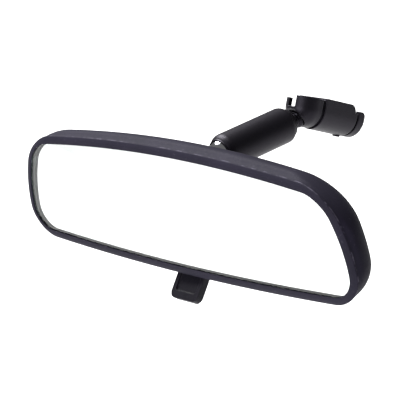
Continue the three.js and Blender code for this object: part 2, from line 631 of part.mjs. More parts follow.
// a round-ended cup, open upwards, with a slot towards the driver and a hollow that follows the arm
function makeNose() {
  const centre = alongMount(NOSE_CENTRE);
  const end = alongMount(CHANNEL_START) - GAP;
  const top = FACE_TOP - NOSE_TOP_DROP;
  const floor = top - NOSE_SLOT_DEPTH;
  const radius = MOUNT_HALF_WIDTH - NOSE_INSET;
  const inner = radius - NOSE_WALL;
  const upright = (r, z0, z1, sides) => turned([[0, z0], [r, z0], [r, z1], [0, z1]], sides)
    .rotate([90, 0, 0]).translate([0, centre, 0]);
  const round = toSolid(new THREE.SphereGeometry(radius, 28, 14).rotateX(Math.PI / 2))
    .translate([0, centre, HULL_CENTRE]);
  const body = round.add(upright(radius, HULL_CENTRE, top, 28))
    .add(alongY(hullSection(NOSE_INSET, top), centre, end))
    .intersect(box(-2 * radius, 2 * radius, centre - 2 * radius, end, -2 * MOUNT_DEPTH, top));
  const well = upright(inner, floor, top + 1, 24)
    .add(box(-inner, inner, centre, end - NOSE_WALL, floor, top + 1));
  const slot = box(-NOSE_SLOT_HALF_WIDTH, NOSE_SLOT_HALF_WIDTH, centre - radius - 1, centre, floor, top + 1);
  const window = box(-radius - 1, 1 - inner, centre - NOSE_WINDOW_START, end + 1, floor, top + 1);
  const ballAt = [0, -SEAT_FROM_BALL, -SEAT_ABOVE_BALL];
  const stemHoleEnd = MOUNT_STEM_END + GAP;
  const stemHole = turned([[0, 0], [STUD_POCKET.radius, 0], [STUD_POCKET.radius, STUD_POCKET.end],
    [STEM_RADIUS + GAP, STUD_POCKET.end], [STEM_RADIUS + GAP, stemHoleEnd], [0, stemHoleEnd]])
    .rotate([THREE.MathUtils.radToDeg(RAKE), 0, 0]).translate(ballAt);
  const swivel = ball(SWIVEL_CLEARANCE, 0, 0, 28, 14).translate(ballAt);
  return body.subtract(well).subtract(slot).subtract(window).subtract(swivel).subtract(stemHole);
}

// a half-round collar with an ear on each side of the channel
function makeEndFlange() {
  const start = alongMount(BODY_END) + GAP;
  const end = start + FLANGE_LENGTH;
  const collar = alongY(hullSection(0.2, FLANGE_EAR), start, end - FLANGE_EDGE)
    .add(alongY(hullSection(0.2 + FLANGE_EDGE, FLANGE_EAR - FLANGE_EDGE), end - FLANGE_EDGE - 0.01, end));
  return collar.subtract(box(-SOCKET_HALF_WIDTH, SOCKET_HALF_WIDTH, start - 1, end + 1,
    -BODY_END_DROP - RELIEF_DEPTH, FLANGE_EAR + 1));
}

function makeClampScrew() {
  const bottom = HULL_CENTRE - MOUNT_HALF_WIDTH;
  return turned([[0, bottom - CLAMP_SCREW_PROUD], [CLAMP_SCREW_RADIUS, bottom - CLAMP_SCREW_PROUD],
    [CLAMP_SCREW_RADIUS, -CLAMP_SCREW_TOP], [0, -CLAMP_SCREW_TOP]], 16)
    .rotate([90, 0, 0]).translate([0, clampScrewAt(), 0]);
}

// local to the mount ball, along the arm; the collar is domed on the side of the ball
function makeMountStem() {
  const { radius, start, end } = STUD_COLLAR;
  return turned([
    [0, BALL_RADIUS + GAP],
    [STEM_RADIUS, BALL_RADIUS + GAP],
    [STEM_RADIUS, start],
    [(STEM_RADIUS + radius) / 2, start + (end - start) * 0.2],
    [radius, start + (end - start) * 0.7],
    [radius, end],
    [STEM_RADIUS, end],
    [STEM_RADIUS, MOUNT_STEM_END],
    [0, MOUNT_STEM_END],
  ]);
}

function makeMount() {
  const mount = new THREE.Group();
  mount.rotation.x = -RAKE;
  addPiece(mount, 'mount_channel', makeChannel(), blackPaint);
  addPiece(mount, 'mount_nose', makeNose(), blackPaint);
  addPiece(mount, 'mount_end_flange', makeEndFlange(), blackPaint);
  addPiece(mount, 'clamp_screw', makeClampScrew(), blackPaint);
  return mount;
}

// ---- assembly -----------------------------------------------------------------------------

const mirror = new THREE.Group();
const mountBall = new THREE.Vector3(0, -SEAT_FROM_BALL, -SEAT_ABOVE_BALL)
  .applyAxisAngle(new THREE.Vector3(1, 0, 0), -RAKE);

const mount = makeMount();
mirror.add(mount);

const stem = new THREE.Group();
stem.position.copy(mountBall);
addPiece(stem, 'mount_stem', makeMountStem(), blackPaint);
mirror.add(stem);

const arm = makeArm();
arm.position.set(0, mountBall.y - BALL_SPACING, mountBall.z);
mirror.add(arm);

const head = makeHead();
head.position.set(0, arm.position.y - HEAD_BALL.y, arm.position.z - HEAD_BALL.z);
mirror.add(head);

export default mirror;
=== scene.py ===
# %% [markdown]
# # An interior rearview mirror
#
# The mirror has three parts: a head (case, wedge of glass, day/night lever), an arm (a tube with a
# ball in each end) and a mount that slides over a button on the windscreen. The CAD model gives
# every size and place and carries the motion. This lesson makes the surfaces that the eye sees:
# each piece is built a second time as a fine mesh in the same place, and rides on the same body.

# %% Load the frame
import json
import math

import bmesh
import bpy
import numpy as np
from mathutils import Matrix, Vector


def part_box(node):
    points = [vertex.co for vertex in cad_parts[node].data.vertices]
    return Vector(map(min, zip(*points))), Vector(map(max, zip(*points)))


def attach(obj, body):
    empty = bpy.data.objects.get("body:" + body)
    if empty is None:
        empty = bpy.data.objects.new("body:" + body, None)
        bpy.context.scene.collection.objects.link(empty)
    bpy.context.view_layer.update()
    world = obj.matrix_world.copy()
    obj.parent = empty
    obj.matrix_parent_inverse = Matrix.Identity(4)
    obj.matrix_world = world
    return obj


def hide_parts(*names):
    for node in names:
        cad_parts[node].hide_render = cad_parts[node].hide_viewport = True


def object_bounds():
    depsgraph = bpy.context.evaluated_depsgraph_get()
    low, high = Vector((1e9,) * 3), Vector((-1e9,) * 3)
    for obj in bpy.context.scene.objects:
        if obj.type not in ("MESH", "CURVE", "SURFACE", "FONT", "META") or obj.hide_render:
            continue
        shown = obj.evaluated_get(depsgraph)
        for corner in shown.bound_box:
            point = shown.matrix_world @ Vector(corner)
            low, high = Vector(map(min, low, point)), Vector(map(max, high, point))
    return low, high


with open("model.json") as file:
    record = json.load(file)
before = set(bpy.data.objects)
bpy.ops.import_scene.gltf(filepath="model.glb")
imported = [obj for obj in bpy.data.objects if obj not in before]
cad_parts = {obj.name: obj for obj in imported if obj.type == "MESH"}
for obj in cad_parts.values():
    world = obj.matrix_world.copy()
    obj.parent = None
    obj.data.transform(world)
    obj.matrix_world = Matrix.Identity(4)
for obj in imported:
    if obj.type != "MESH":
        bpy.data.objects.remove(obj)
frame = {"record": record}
cad_low, cad_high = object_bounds()
MM = 0.001
print("CAD box, mm:", [round(v / MM, 1) for v in (*cad_low, *cad_high)])

# %% [markdown]
# The head is drawn round the middle of the mirror opening. The glass lies just behind that plane,
# so its box gives the place. The two ball centres give the arm's axis, and the mount's own face
# gives the rake of the windscreen.

# %% Places that the rest is drawn from
GLASS_SETBACK = 0.4 * MM


def middle(node):
    low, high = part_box(node)
    return (Vector(low) + Vector(high)) / 2


glass_low, glass_high = (Vector(corner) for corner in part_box("prism_glass"))
HEAD = Vector((0, glass_low.y - GLASS_SETBACK, (glass_low.z + glass_high.z) / 2))
HEAD_BALL = middle("head_ball")
MOUNT_BALL = middle("mount_ball")
mount_axis = Vector(frame["record"]["mounts"][0]["axis"])
RAKE = math.atan2(mount_axis.y, mount_axis.z)
print("head", HEAD, "balls", HEAD_BALL, MOUNT_BALL, "rake", round(math.degrees(RAKE), 1))

# %% [markdown]
# The camera stands in front of the mirror, to its right and a little above, with a long lens, and
# it is tipped on its side by a few degrees, so the mirror seems to hang down to the right. It aims
# a little to the right of the head and above it, so that the arm and the mount are in view.

# %% Camera
CAMERA_AZIMUTH = math.radians(52.86)
CAMERA_ELEVATION = math.radians(19.23)
CAMERA_ROLL = math.radians(-11.38)
CAMERA_DISTANCE = 0.9994
CAMERA_LENS = 182.2
AIM_RIGHT = 0.01339
AIM_UP = 0.00618


def add_camera():
    ca, sa = math.cos(CAMERA_AZIMUTH), math.sin(CAMERA_AZIMUTH)
    ce, se = math.cos(CAMERA_ELEVATION), math.sin(CAMERA_ELEVATION)
    cr, sr = math.cos(CAMERA_ROLL), math.sin(CAMERA_ROLL)
    level_right = Vector((ca, sa, 0))
    level_up = Vector((-sa * se, ca * se, ce))
    back = Vector((sa * ce, -ca * ce, se))
    right = cr * level_right + sr * level_up
    up = -sr * level_right + cr * level_up
    place = HEAD + back * CAMERA_DISTANCE
    aim = HEAD + right * AIM_RIGHT + up * AIM_UP
    new_back = (place - aim).normalized()
    new_right = up.cross(new_back).normalized()
    new_up = new_back.cross(new_right)
    camera = bpy.data.objects.new("camera", bpy.data.cameras.new("camera"))
    camera.data.lens = CAMERA_LENS
    camera.data.sensor_width = 36
    camera.matrix_world = Matrix((
        (new_right.x, new_up.x, new_back.x, place.x),
        (new_right.y, new_up.y, new_back.y, place.y),
        (new_right.z, new_up.z, new_back.z, place.z),
        (0, 0, 0, 1),
    ))
    bpy.context.scene.collection.objects.link(camera)
    bpy.context.scene.camera = camera


add_camera()
print("camera at, m:", [round(v, 3) for v in bpy.context.scene.camera.matrix_world.translation])

# %% [markdown]
# The light is a white studio: one broad soft light overhead and to the left, a weak fill from the
# front, a grey surround and a white floor. The end of the case that faces away from the big light
# stays dark, and the mirror shows the pale floor.

# %% Studio
FLOOR_DROP = 0.16
FLOOR_SIZE = 8.0


def add_area_light(name, place, aim, size, watts):
    data = bpy.data.lights.new(name, "AREA")
    data.shape = "DISK"
    data.size = size
    data.energy = watts
    light = bpy.data.objects.new(name, data)
    light.location = place
    light.rotation_mode = "QUATERNION"
    light.rotation_quaternion = (Vector(place) - Vector(aim)).to_track_quat("Z", "Y")
    bpy.context.scene.collection.objects.link(light)


def add_floor():
    bm = bmesh.new()
    bmesh.ops.create_grid(bm, x_segments=1, y_segments=1, size=FLOOR_SIZE / 2)
    data = bpy.data.meshes.new("studio_floor")
    bm.to_mesh(data)
    bm.free()
    data.transform(Matrix.Translation((0, 0, cad_low[2] - FLOOR_DROP)))
    floor = bpy.data.objects.new("studio_floor", data)
    bpy.context.scene.collection.objects.link(floor)
    return floor


studio_floor = add_floor()
add_area_light("overhead", (-0.95, 0.0, 1.35), (-0.5, 0.1, -0.2), 1.2, 74)
add_area_light("front", (0.25, -1.1, 0.3), (0, -0.05, 0), 0.55, 9)
world = bpy.data.worlds.new("studio")
bpy.context.scene.world = world
world.use_nodes = True
world.node_tree.nodes["Background"].inputs["Color"].default_value = (1, 1, 1, 1)
world.node_tree.nodes["Background"].inputs["Strength"].default_value = 0.15
bpy.context.scene.view_settings.view_transform = "Standard"
print("floor", round(studio_floor.data.vertices[0].co.z, 3), "m high, two lights")

# %% [markdown]
# ## Helpers for materials
#
# A material is a small tree of nodes. One function turns an sRGB hex value to linear light, and
# one adds a node with its settings and links, so each material below reads like a short recipe.
# Every pattern is laid out in Object coordinates, in metres, so its scale is a real size.

# %% Material helpers


def linear(hex_colour):
    value = hex_colour.lstrip("#")
    channels = [int(value[i:i + 2], 16) / 255 for i in (0, 2, 4)]
    return tuple(c / 12.92 if c <= 0.04045 else ((c + 0.055) / 1.055) ** 2.4 for c in channels) + (1.0,)


def add_node(tree, kind, settings=None, **inputs):
    """Adds a node. `settings` sets its properties; an input is a value or another node's output."""
    node = tree.nodes.new(kind)
    for name, value in (settings or {}).items():
        setattr(node, name, value)
    for name, value in inputs.items():
        key = int(name[1:]) if name[0] == "i" and name[1:].isdigit() else name.replace("_", " ")
        socket = node.inputs[key]
        if isinstance(value, bpy.types.NodeSocket):
            tree.links.new(value, socket)
        else:
            socket.default_value = value
    return node


def start_material(name, **shader_inputs):
    material = bpy.data.materials.new(name)
    material.use_nodes = True
    tree = material.node_tree
    tree.nodes.clear()
    shader = add_node(tree, "ShaderNodeBsdfPrincipled", **shader_inputs)
    out = add_node(tree, "ShaderNodeOutputMaterial")
    tree.links.new(shader.outputs["BSDF"], out.inputs["Surface"])
    where = add_node(tree, "ShaderNodeTexCoord").outputs["Object"]
    return material, tree, shader, where


def noise(tree, where, size_mm, detail=2.0, roughness=0.5):
    """Noise whose blobs are about `size_mm` across."""
    return add_node(tree, "ShaderNodeTexNoise", Vector=where, Scale=1 / (size_mm * MM),
                    Detail=detail, Roughness=roughness).outputs["Fac"]


def spread(tree, value, low, high, from_low=0.3, from_high=0.7):
    """Maps a noise's usual spread to the range low..high."""
    node = add_node(tree, "ShaderNodeMapRange", Value=value)
    for name, number in (("From Min", from_low), ("From Max", from_high), ("To Min", low), ("To Max", high)):
        node.inputs[name].default_value = number
    return node.outputs["Result"]


def blend_colours(tree, factor, first, second):
    mix = add_node(tree, "ShaderNodeMix", {"data_type": "RGBA"})
    for index, value in ((0, factor), (6, first), (7, second)):
        if isinstance(value, bpy.types.NodeSocket):
            tree.links.new(value, mix.inputs[index])
        else:
            mix.inputs[index].default_value = value
    return mix.outputs[2]


def set_bump(tree, shader, height, depth_mm, strength=1.0):
    bump = add_node(tree, "ShaderNodeBump", Height=height, Distance=depth_mm * MM, Strength=strength)
    tree.links.new(bump.outputs["Normal"], shader.inputs["Normal"])


# %% [markdown]
# ## The finishes
#
# The case is ABS moulded in a textured tool: a dark charcoal with a cool tint, dull, with a fine
# leather-like grain of about half a millimetre, and a painted highlight in pale dashes along one corner.

# A painted highlight runs along the corner between the front band and the side wall, in short pale dashes.

# % Moulded ABS
CREASE_DEPTH = 1.3  # how far the case's corner lies behind the mirror's opening


def crease_highlight(tree, where):
    """Painted highlight: short pale dashes along the corner, which lies at one depth behind the opening."""
    depth = add_node(tree, "ShaderNodeSeparateXYZ", Vector=where).outputs["Y"]
    from_corner = add_node(tree, "ShaderNodeMath", {"operation": "SUBTRACT"}, i0=depth,
                           i1=HEAD.y + CREASE_DEPTH * MM).outputs[0]
    distance = add_node(tree, "ShaderNodeMath", {"operation": "ABSOLUTE"}, i0=from_corner).outputs[0]
    near = spread(tree, distance, 1, 0, 0.15 * MM, 0.5 * MM)
    dashes = spread(tree, noise(tree, where, 7, 4, 0.7), 0, 0.8, 0.48, 0.62)
    return add_node(tree, "ShaderNodeMath", {"operation": "MULTIPLY"}, i0=near, i1=dashes).outputs[0]


def moulded_abs():
    material, tree, shader, where = start_material(
        "moulded ABS, fine grain", IOR=1.5, Specular_IOR_Level=0.12)
    broad = noise(tree, where, 22, 3)
    grain = noise(tree, where, 0.55, 3, 0.62)
    specks = noise(tree, where, 1.6, 2)
    base = blend_colours(tree, spread(tree, broad, 0, 1), linear("#1d1b27"), linear("#23202e"))
    specked = blend_colours(tree, spread(tree, specks, 0, 0.35, 0.66, 0.76), base, linear("#4b4855"))
    # The pale dashes along the crease are a painted highlight, colour #5d5968.
    colour = blend_colours(tree, crease_highlight(tree, where), specked, linear("#5d5968"))
    tree.links.new(colour, shader.inputs["Base Color"])
    tree.links.new(spread(tree, grain, 0.6, 0.78), shader.inputs["Roughness"])
    set_bump(tree, shader, grain, 0.05, 0.6)
    return material


case_plastic = moulded_abs()
print("made", case_plastic.name)

# %% [markdown]
# The lever is moulded in the same resin from a smoother tool, so it is darker and more even.

# %% Smooth moulded ABS


def smooth_abs():
    material, tree, shader, where = start_material("moulded ABS, smooth", IOR=1.5, Specular_IOR_Level=0.18)
    broad = noise(tree, where, 9, 2)
    fine = noise(tree, where, 0.4, 2)
    colour = blend_colours(tree, spread(tree, broad, 0, 1), linear("#100e16"), linear("#13111a"))
    tree.links.new(colour, shader.inputs["Base Color"])
    tree.links.new(spread(tree, broad, 0.42, 0.52), shader.inputs["Roughness"])
    set_bump(tree, shader, fine, 0.015, 0.5)
    return material


lever_plastic = smooth_abs()
print("made", lever_plastic.name)

# %% [markdown]
# The tube and the mount are steel and die-cast zinc under a satin black electro-coat. A coat that
# is baked on flows a little, which leaves a very shallow waviness; it gives long soft highlights.

# %% Black electro-coat


def electro_coat(name, dark, light, low, high, wave_mm):
    material, tree, shader, where = start_material(
        name, IOR=1.5, Specular_IOR_Level=0.26, Specular_Tint=linear("#efe8ff"))
    broad = noise(tree, where, 12, 2)
    wave = noise(tree, where, wave_mm, 2)
    colour = blend_colours(tree, spread(tree, broad, 0, 1), linear(dark), linear(light))
    tree.links.new(colour, shader.inputs["Base Color"])
    tree.links.new(spread(tree, wave, low, high), shader.inputs["Roughness"])
    set_bump(tree, shader, wave, 0.012, 0.5)
    return material


tube_coat = electro_coat("satin black electro-coat on steel", "#0d0b10", "#110f14", 0.42, 0.52, 0.9)
mount_coat = electro_coat("satin black electro-coat on zinc", "#0e0c11", "#121015", 0.38, 0.48, 0.7)
print("made", tube_coat.name, "and", mount_coat.name)

# %% [markdown]
# Bright metal comes in three finishes: a ground and chromed ball, zinc-plated pressings, and
# drawn spring wire. A metal's colour is its reflection, so only roughness and tint change.

# %% Bright metals


def plated_metal(name, tint, low, high, grain_mm, bump_mm):
    material, tree, shader, where = start_material(name, Metallic=1.0)
    fine = noise(tree, where, grain_mm, 3)
    broad = noise(tree, where, 6, 2)
    colour = blend_colours(tree, spread(tree, broad, 0, 1), linear(tint[0]), linear(tint[1]))
    tree.links.new(colour, shader.inputs["Base Color"])
    tree.links.new(spread(tree, fine, low, high), shader.inputs["Roughness"])
    set_bump(tree, shader, fine, bump_mm, 0.4)
    return material


chromed_steel = plated_metal("ground and chromed steel", ("#d9dadd", "#e4e5e8"), 0.06, 0.14, 0.5, 0.002)
zinc_plate = plated_metal("zinc-plated steel", ("#a9abad", "#b9babd"), 0.3, 0.45, 0.8, 0.01)
spring_wire = plated_metal("drawn spring wire", ("#7c7d80", "#8d8e91"), 0.25, 0.4, 0.3, 0.004)
print("made three metals")

# %% [markdown]
# The mirror is float glass ground to a wedge, with polished faces. Its edge is ground and grey-green
# at the left end; elsewhere it is near-black, painted shade for the shadow gap between the glass and
# the case's lip. The back carries the reflective coating, and a foam pad is behind that.

# %% Glass, silvering, nylon and foam


def float_glass():
    material, tree, shader, where = start_material(
        "polished float glass", IOR=1.52, Roughness=0.0, Transmission_Weight=1.0)
    smear = noise(tree, where, 30, 2)
    tree.links.new(blend_colours(tree, spread(tree, smear, 0, 1), linear("#fbfffd"), linear("#ffffff")),
                   shader.inputs["Base Color"])
    return material


def ground_edge():
    material, tree, shader, where = start_material("ground glass edge", IOR=1.52)
    grit = noise(tree, where, 0.25, 3)
    tree.links.new(blend_colours(tree, spread(tree, grit, 0, 1), linear("#3d4a47"), linear("#5a6764")),
                   shader.inputs["Base Color"])
    tree.links.new(spread(tree, grit, 0.5, 0.8), shader.inputs["Roughness"])
    set_bump(tree, shader, grit, 0.02, 0.5)
    return material


# Painted shade: a near-black rim that stands for the shadow gap between the glass and the case's lip.
def gap_shade_edge():
    material, tree, shader, where = start_material("glass rim with painted gap shade", IOR=1.5)
    shade_grain = noise(tree, where, 0.8, 2)
    tree.links.new(blend_colours(tree, spread(tree, shade_grain, 0, 1), linear("#060607"), linear("#0b0b0d")),
                   shader.inputs["Base Color"])
    tree.links.new(spread(tree, shade_grain, 0.5, 0.7), shader.inputs["Roughness"])
    return material


def silvering():
    material, tree, shader, where = start_material("silver coating on glass", Metallic=1.0)
    haze = noise(tree, where, 40, 2)
    tree.links.new(blend_colours(tree, spread(tree, haze, 0, 1), linear("#fafbfb"), linear("#ffffff")),
                   shader.inputs["Base Color"])
    tree.links.new(spread(tree, haze, 0.0, 0.008), shader.inputs["Roughness"])
    return material


def dull_polymer(name, tint, grain_mm, bump_mm, rough):
    material, tree, shader, where = start_material(name, IOR=1.5)
    grain = noise(tree, where, grain_mm, 3)
    tree.links.new(blend_colours(tree, spread(tree, grain, 0, 1), linear(tint[0]), linear(tint[1])),
                   shader.inputs["Base Color"])
    tree.links.new(spread(tree, grain, rough - 0.08, rough + 0.08), shader.inputs["Roughness"])
    set_bump(tree, shader, grain, bump_mm, 0.5)
    return material


clear_glass = float_glass()
glass_edge = ground_edge()
painted_gap_shade = gap_shade_edge()
silver = silvering()
nylon = dull_polymer("moulded natural nylon", ("#d6d2c6", "#dedacd"), 1.2, 0.01, 0.5)
foam = dull_polymer("closed-cell foam", ("#2c2c2e", "#3a3a3c"), 0.6, 0.08, 0.85)
floor_paint = dull_polymer("white studio floor", ("#ececec", "#efefef"), 60, 0.0, 0.8)
studio_floor.data.materials.append(floor_paint)
print("made glass, coating, nylon, foam and floor")

# %% [markdown]
# ## Helpers for shapes
#
# Two helpers make most pieces. `skin` joins rings of points with faces, as a tailor joins hoops,
# and `turned` spins a profile round an axis, as a lathe does. `rounded` puts a fillet on each
# corner of a profile, because no real edge is perfectly sharp.

# %% Shape helpers


def new_piece(name, bm, material, smooth=True):
    data = bpy.data.meshes.new(name)
    bmesh.ops.recalc_face_normals(bm, faces=bm.faces)
    for face in bm.faces:
        face.smooth = smooth
    bm.to_mesh(data)
    bm.free()
    data.materials.append(material)
    piece = bpy.data.objects.new(name, data)
    bpy.context.scene.collection.objects.link(piece)
    return piece


def skin(rings, close_ends=True, loop=False):
    """A bmesh through rings of equal count; the ends are closed with a fan, or the rings loop."""
    bm = bmesh.new()
    rows = [[bm.verts.new(point) for point in ring] for ring in rings]
    count = len(rows[0])
    pairs = list(zip(rows, rows[1:])) + ([(rows[-1], rows[0])] if loop else [])
    for first, second in pairs:
        for k in range(count):
            after = (k + 1) % count
            bm.faces.new((first[k], first[after], second[after], second[k]))
    if close_ends and not loop:
        for row in (rows[0], rows[-1]):
            hub = bm.verts.new(sum((v.co for v in row), Vector()) / count)
            for k in range(count):
                bm.faces.new((row[k], row[(k + 1) % count], hub))
    return bm


def rounded(points, radii, steps=6):
    """The open polyline `points` with corner k filleted to radii[k]; 0 keeps a corner sharp."""
    result = []
    for k, (point, radius) in enumerate(zip(points, radii)):
        here = Vector(point)
        if radius <= 0 or k in (0, len(points) - 1):
            result.append(here)
            continue
        before = (Vector(points[k - 1]) - here).normalized()
        after = (Vector(points[k + 1]) - here).normalized()
        half = before.angle(after) / 2
        cut = radius / math.tan(half)
        centre = here + (before + after).normalized() * (radius / math.sin(half))
        start, end = here + before * cut - centre, here + after * cut - centre
        total = start.angle_signed(end)
        for step in range(steps + 1):
            turn = -total * step / steps
            result.append(centre + Vector((
                start.x * math.cos(turn) - start.y * math.sin(turn),
                start.x * math.sin(turn) + start.y * math.cos(turn))))
    return result


def turned(profile, centre, axis, around=72):
    """Spins a profile of (radius, distance along axis) round the axis through `centre`."""
    axis = Vector(axis).normalized()
    side = axis.orthogonal().normalized()
    other = axis.cross(side)
    closed = profile[0][0] > 1e-9
    rows = [row for row in profile if closed or row[0] > 1e-9]
    rings = []
    for radius, along in rows:
        hub = Vector(centre) + axis * along
        rings.append([hub + side * (radius * math.cos(t)) + other * (radius * math.sin(t))
                      for t in (2 * math.pi * k / around for k in range(around))])
    return skin(rings, close_ends=not closed, loop=closed)


def lathe(name, profile, centre, axis, place, material, around=96):
    """A turned piece whose profile and centre are in millimetres in the frame `place`."""
    bm = turned(profile, centre, axis, around)
    bm.transform(place)
    return new_piece(name, bm, material)


def prism(name, outline_xz, start, end, place, material):
    """An outline of (x, z) points carried along y from `start` to `end`, in the frame `place`."""
    bm = skin([[place @ Vector((x, y, z)) for x, z in outline_xz] for y in (start, end)], close_ends=False)
    bm.verts.ensure_lookup_table()
    count = len(outline_xz)
    bm.faces.new(bm.verts[:count])
    bm.faces.new(bm.verts[count:])
    return new_piece(name, bm, material)


def side_prism(name, outline_yz, reach, place, material):
    """An outline of (y, z) points carried along x from -reach to reach, in the frame `place`."""
    quarter = Matrix(((0, 1, 0, 0), (1, 0, 0, 0), (0, 0, 1, 0), (0, 0, 0, 1)))
    return prism(name, outline_yz, -reach, reach, place @ quarter, material)


def box(name, low, high, place, material):
    (x0, y0, z0), (x1, y1, z1) = low, high
    return prism(name, [(x0, z0), (x1, z0), (x1, z1), (x0, z1)], y0, y1, place, material)


def smooth_by_angle(piece, degrees=32):
    """Flat faces stay crisp where they meet at more than this angle."""
    bm = bmesh.new()
    bm.from_mesh(piece.data)
    for edge in bm.edges:
        edge.smooth = edge.calc_face_angle(0) < math.radians(degrees)
    bm.to_mesh(piece.data)
    bm.free()


def apply_modifiers(piece):
    graph = bpy.context.evaluated_depsgraph_get()
    mesh = bpy.data.meshes.new_from_object(piece.evaluated_get(graph))
    piece.modifiers.clear()
    old, piece.data = piece.data, mesh
    bpy.data.meshes.remove(old)


def cut(piece, cutter, operation="DIFFERENCE"):
    tool = piece.modifiers.new("cut", "BOOLEAN")
    tool.operation = operation
    tool.solver = "EXACT"
    tool.use_hole_tolerant = True
    tool.object = cutter
    apply_modifiers(piece)
    bpy.data.objects.remove(cutter)


def soften(piece, voxel_mm, rounds=3, factor=0.5):
    """Rebuilds a piece from small cubes and smooths it, which rounds every edge as a casting's are."""
    remesh = piece.modifiers.new("remesh", "REMESH")
    remesh.mode = "VOXEL"
    remesh.voxel_size = voxel_mm * MM
    relax = piece.modifiers.new("relax", "SMOOTH")
    relax.iterations = rounds
    relax.factor = factor
    apply_modifiers(piece)
    for face in piece.data.polygons:
        face.use_smooth = True


def finish_piece(piece, body, material_slot, *nodes):
    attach(piece, body)
    if nodes:
        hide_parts(*nodes)
    print(piece.name, len(piece.data.polygons), "faces")


# %% [markdown]
# ## The mirror's outline
#
# Seen from the driver's seat the opening is a long shape: the top edge is bowed, the bottom edge
# is bowed less, and the ends lean out towards the bottom. A short formula says how far any point
# lies outside that shape, so a ring at any distance from it can be found by halving a step. The
# same formula, with rounder corners and a swell, gives the back of the case.

# %% The outline as a formula
HALF_WIDTH = 118.0
HALF_HEIGHT = 29.5
TOP_BOW = 5.4
BOTTOM_BOW = 2.8
END_LEAN = 0.25
END_BOW = 0.82
TOP_CORNER = 9.4
BOTTOM_CORNER = 11.7
REAR_TOP_CORNER = 7.0
REAR_BOTTOM_CORNER = 3.6
SWELL_MIDDLE = 1.0
SWELL_TILT = 0.75
END_TAPER = 0.15


def outside(x, z, rounder):
    """Millimetres outside the opening; `rounder` goes from 0 at the lip to 1 at the back."""
    top = HALF_HEIGHT - TOP_BOW * (x / 100) ** 2
    bottom = HALF_HEIGHT - BOTTOM_BOW * (x / 100) ** 2
    end = HALF_WIDTH - END_LEAN * z - END_BOW * (z / 10) ** 2
    top_corner = TOP_CORNER + REAR_TOP_CORNER * rounder
    corner = np.where(z > 0, top_corner, BOTTOM_CORNER + REAR_BOTTOM_CORNER * rounder)
    across = np.abs(x) - end + corner
    up = np.where(z > 0, z - top, -z - bottom) + corner
    return np.hypot(np.maximum(across, 0), np.maximum(up, 0)) + np.minimum(np.maximum(across, up), 0) - corner


def outline(offset, depth, rounder=0.0, swell=0.0, scale=1.0, count=320):
    """Points of the outline `offset` mm outside the opening, `depth` mm behind it, as Vectors."""
    turn = 2 * np.pi * np.arange(count) / count
    dx = np.sign(np.cos(turn)) * np.abs(np.cos(turn)) ** 0.8 * HALF_WIDTH
    dz = np.sign(np.sin(turn)) * np.abs(np.sin(turn)) ** 0.8 * HALF_HEIGHT
    near, far = np.zeros(count), np.full(count, 3.0)
    for _ in range(40):
        half = (near + far) / 2
        local = offset + swell * (SWELL_MIDDLE + SWELL_TILT * dz * half / HALF_HEIGHT)
        inside = outside(dx * half, dz * half, rounder) < local
        near, far = np.where(inside, half, near), np.where(inside, far, half)
    x, z = dx * near * scale, dz * near * scale
    y = depth(z) if callable(depth) else np.full(count, float(depth))
    y = y - np.maximum(y - CREASE_DEPTH, 0) * END_TAPER * (x / 120) ** 2
    return [HEAD + Vector((a * MM, b * MM, c * MM)) for a, b, c in zip(x, y, z)]


print("opening, mm:", round(2 * HALF_WIDTH), "x", round(2 * HALF_HEIGHT))

# %% [markdown]
# ## The case
#
# The case is one moulding: a band round the glass, a crease, a side wall that swells out and a
# rounded back. It is drawn as one closed skin that runs from the middle of the back, over the
# outside, round the lip and back along the inside, so that it has a real wall thickness.

# %% Profile of the case
LIP_WIDTH = 4.2
SIDE_DEPTH = 4.4
SHOULDER_IN = 30.0
SHOULDER_DEPTH = 23.6
WALL = 2.2
POCKET = 1.4
POCKET_DEPTH = 7.5
SWELL_END = 6.2


def back_ring(turn, wall):
    """A ring on the rounded back, at this angle round its quarter ellipse."""
    depth = SIDE_DEPTH + (SHOULDER_DEPTH - wall) * math.sin(turn)
    rise = min(max((depth - CREASE_DEPTH) / (SWELL_END - CREASE_DEPTH), 0), 1)
    swell = rise * rise * (3 - 2 * rise)
    return outline(LIP_WIDTH - wall - (SHOULDER_IN - wall) * (1 - math.cos(turn)), depth, rise, swell)


def back_cap(turn, wall, shares):
    offset = LIP_WIDTH - wall - (SHOULDER_IN - wall) * (1 - math.cos(turn))
    depth = SIDE_DEPTH + (SHOULDER_DEPTH - wall) * math.sin(turn)
    rise = SIDE_DEPTH + SHOULDER_DEPTH - wall - depth
    return [outline(offset, depth + rise * (1 - share * share), 1, 1, share) for share in shares]


def lip_rings():
    """From the crease over the front band to the inner edge of the lip."""
    rings = []
    for step in range(9):
        depth = SIDE_DEPTH - (SIDE_DEPTH - CREASE_DEPTH) * step / 9
        rise = (depth - CREASE_DEPTH) / (SWELL_END - CREASE_DEPTH)
        rings.append(outline(LIP_WIDTH, depth, rise, rise * rise * (3 - 2 * rise)))
    band = rounded([(LIP_WIDTH, CREASE_DEPTH), (LIP_WIDTH, 0.75), (2.2, -0.15), (0, -0.42), (0, 0.2)],
                   [0, 0.5, 4.0, 0.25, 0])
    rings += [outline(offset, depth) for offset, depth in band]
    return rings


def make_case():
    caps = [0.12, 0.3, 0.5, 0.7, 0.86]
    last = math.radians(72)
    outer = back_cap(last, 0, caps) + [back_ring(math.radians(d), 0) for d in range(72, 2, -3)]
    inner = [outline(POCKET, 0.2), outline(POCKET, POCKET_DEPTH)]
    inner += [back_ring(math.radians(d), WALL) for d in range(20, 73, 8)]
    inner += back_cap(math.radians(68), WALL, caps[::-1])
    return new_piece("case", skin(outer + lip_rings() + inner), case_plastic)


case = make_case()
print("case skin has", len(case.data.polygons), "faces")

# %% [markdown]
# Two openings are cut through the wall: a round one at the back that the stem comes out of, and a
# slot underneath that the lever swings in. A chamfer on each cutter breaks the edge.

# %% Openings in the case


